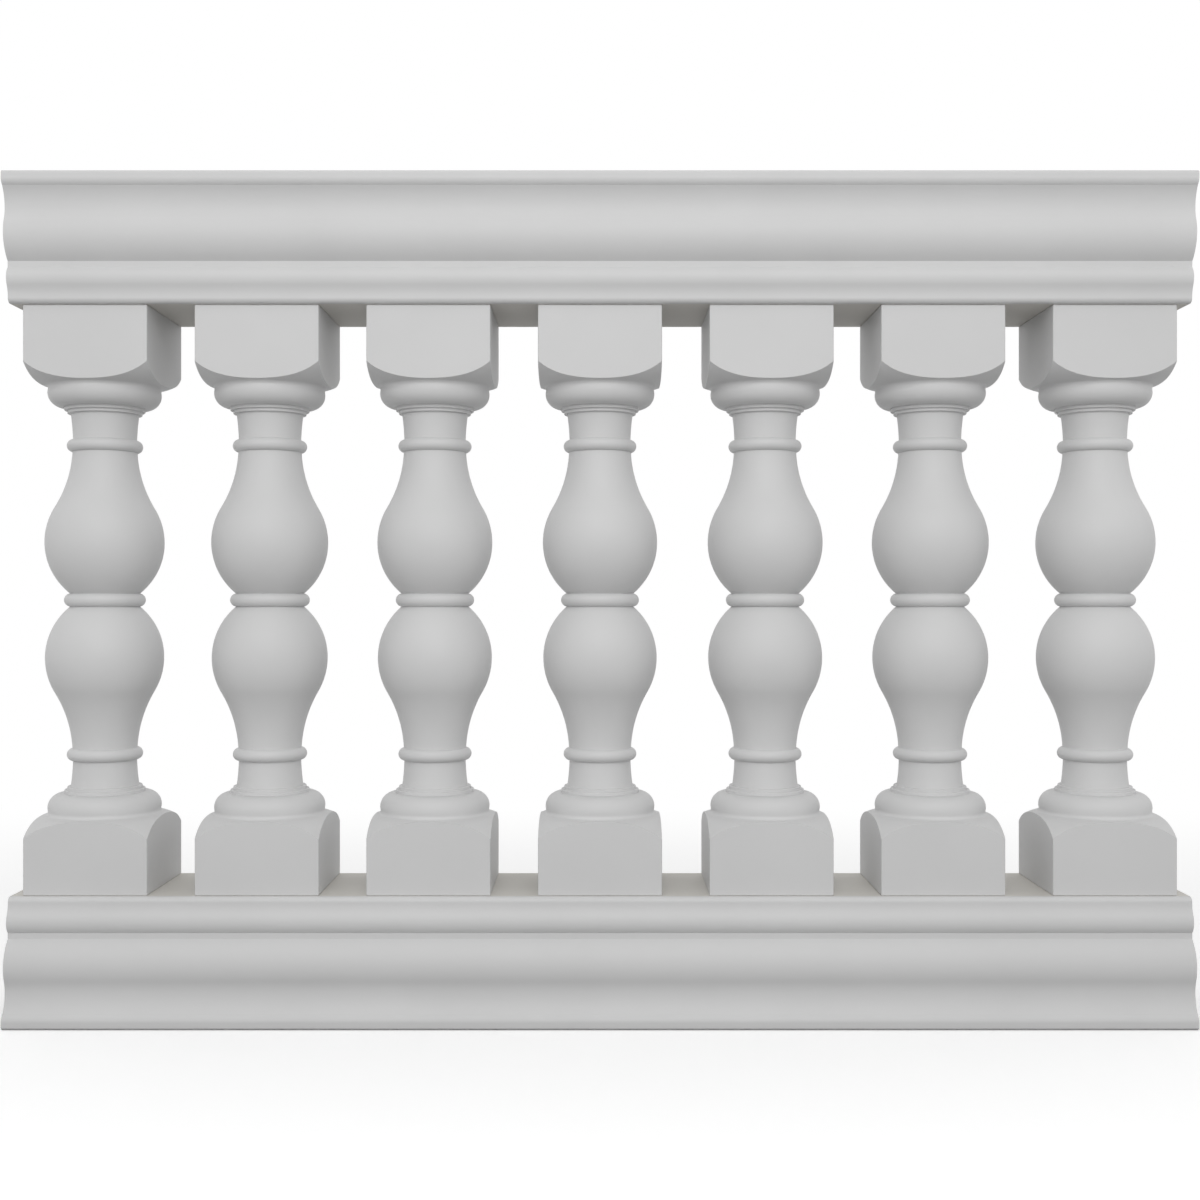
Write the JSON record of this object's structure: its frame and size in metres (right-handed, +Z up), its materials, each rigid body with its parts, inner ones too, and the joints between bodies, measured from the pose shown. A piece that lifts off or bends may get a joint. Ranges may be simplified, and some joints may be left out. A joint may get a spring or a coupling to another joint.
{
  "type": "balustrade railing section",
  "caption": "Straight deck balustrade section: moulded top and bottom rails held apart by a row of turned double-vase balusters with square end blocks, each on a steel pipe core.",
  "frame": {"origin": "middle of the bottom rail's wide face, on the surface that it stands on", "axes": "+X along the rails to the right, +Y from front to back, +Z up"},
  "size_m": [1.216, 0.178, 0.873],
  "materials": {
    "primed_urethane": "matte white primer over moulded urethane foam",
    "galvanised_steel": "plain galvanised tube"
  },
  "bodies": {
    "root": {"top_rail": "primed_urethane", "bottom_rail": "primed_urethane", "baluster_1": "primed_urethane", "baluster_2": "primed_urethane", "baluster_3": "primed_urethane", "baluster_4": "primed_urethane", "baluster_5": "primed_urethane", "baluster_6": "primed_urethane", "baluster_7": "primed_urethane", "pipe_1": "galvanised_steel", "pipe_2": "galvanised_steel", "pipe_3": "galvanised_steel", "pipe_4": "galvanised_steel", "pipe_5": "galvanised_steel", "pipe_6": "galvanised_steel", "pipe_7": "galvanised_steel"}
  },
  "joints": []
}
